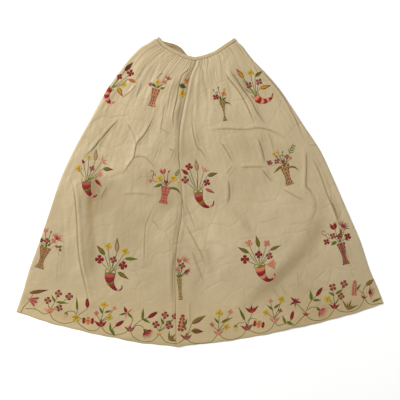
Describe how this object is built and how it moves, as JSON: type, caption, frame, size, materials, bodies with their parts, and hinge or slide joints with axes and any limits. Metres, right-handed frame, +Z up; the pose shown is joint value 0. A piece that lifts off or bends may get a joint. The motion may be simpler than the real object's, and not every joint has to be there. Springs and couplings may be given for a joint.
{
  "type": "gathered embroidered apron",
  "caption": "Full gathered apron of embroidered silk on a narrow waistband that goes all round, laid flat with its front on its back.",
  "frame": {"origin": "centre of the outline, on the surface that the apron lies on", "axes": "+Z up out of the front cloth, +Y from the hem to the waist, +X to the viewer's right along the hem"},
  "size_m": [1.214, 1.0218, 0.0118],
  "materials": {
    "silk": "soft sheen cream silk, embroidered",
    "band_silk": "soft sheen cream silk, plain"
  },
  "bodies": {
    "root": {"front_left_width": "silk", "front_right_width": "silk", "back_width": "silk", "waistband_front": "band_silk", "waistband_back": "band_silk"}
  },
  "joints": []
}
